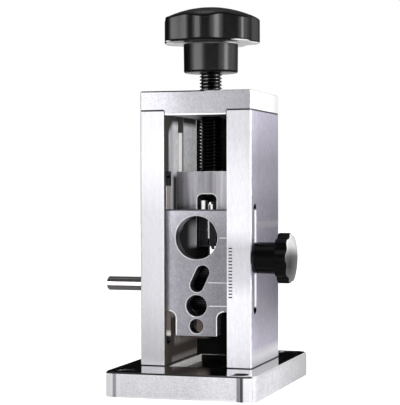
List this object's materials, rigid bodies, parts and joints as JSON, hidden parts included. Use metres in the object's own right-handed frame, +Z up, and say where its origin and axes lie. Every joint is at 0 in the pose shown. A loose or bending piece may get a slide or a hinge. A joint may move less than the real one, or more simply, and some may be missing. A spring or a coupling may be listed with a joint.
{
  "type": "drill-driven wire stripper",
  "caption": "Bench wire stripper: an upright frame on a base plate, a feed roller on a hex drive shaft, a screw-set blade carriage and a sliding guide plate with cable holes and a lock knob.",
  "frame": {"origin": "middle of the underside of the base plate", "axes": "+Z up, -Y is the feed side where the cable goes in, +X is the side with the lock knob"},
  "size_m": [0.1078, 0.1164, 0.1979],
  "materials": {
    "milled_aluminium": "fine milled, clear",
    "polished_aluminium": "polished",
    "guide_aluminium": "bead blasted",
    "carriage_aluminium": "brushed",
    "black_thread": "black oxide, oiled",
    "black_screw": "black oxide",
    "dark_steel": "hardened, black oxide",
    "black_guard": "black anodised, satin",
    "bright_steel": "ground",
    "blade_steel": "ground and honed",
    "bronze": "sintered",
    "brass_insert": "turned",
    "black_plastic": "satin moulded",
    "lock_plastic": "semi-gloss moulded"
  },
  "bodies": {
    "frame": {"base_plate": "polished_aluminium", "base_screws": "black_screw", "left_upright": "milled_aluminium", "right_upright": "milled_aluminium", "top_plate": "milled_aluminium", "top_screws": "black_screw", "rear_guard": "black_guard", "guard_screws": "black_screw", "left_bushing": "bronze", "right_bushing": "bronze"},
    "drive": {"drive_shaft": "bright_steel", "feed_roller": "dark_steel", "roller_screws": "black_screw", "roller_spacers": "bronze"},
    "carriage": {"blade_carriage": "carriage_aluminium", "swivel_pins": "bright_steel", "blade_holder": "dark_steel", "blade": "blade_steel", "blade_clamp": "dark_steel", "clamp_screws": "black_screw", "holder_screws": "black_screw"},
    "adjuster": {"adjuster_screw": "black_thread", "adjuster_knob": "black_plastic", "knob_insert": "brass_insert"},
    "guide": {"guide_plate": "guide_aluminium", "lock_stud": "bright_steel"},
    "lock": {"lock_washer": "black_screw", "lock_knob": "lock_plastic", "lock_insert": "brass_insert"}
  },
  "joints": [
    {"name": "carriage_slide", "type": "slide", "parent": "frame", "child": "carriage", "axis": [0, 0, 1], "range_m": [-0.004, 0.026]},
    {"name": "screw_turn", "type": "hinge", "parent": "carriage", "child": "adjuster", "pos_m": [0, 0, 0.15], "axis": [0, 0, 1], "range_deg": [-828, 5355]},
    {"name": "guide_slide", "type": "slide", "parent": "frame", "child": "guide", "axis": [0, 0, 1], "range_m": [-0.0135, 0.0135]},
    {"name": "lock_turn", "type": "hinge", "parent": "guide", "child": "lock", "pos_m": [0.02935, -0.02117, 0.068], "axis": [1, 0, 0], "range_deg": [0, 360]},
    {"name": "drive_spin", "type": "hinge", "parent": "frame", "child": "drive", "pos_m": [0, 0, 0.0524], "axis": [1, 0, 0], "continuous": true}
  ],
  "couplings": [
    {"joint": "screw_turn", "follows": "carriage_slide", "rad_per_m": 3590.4}
  ]
}
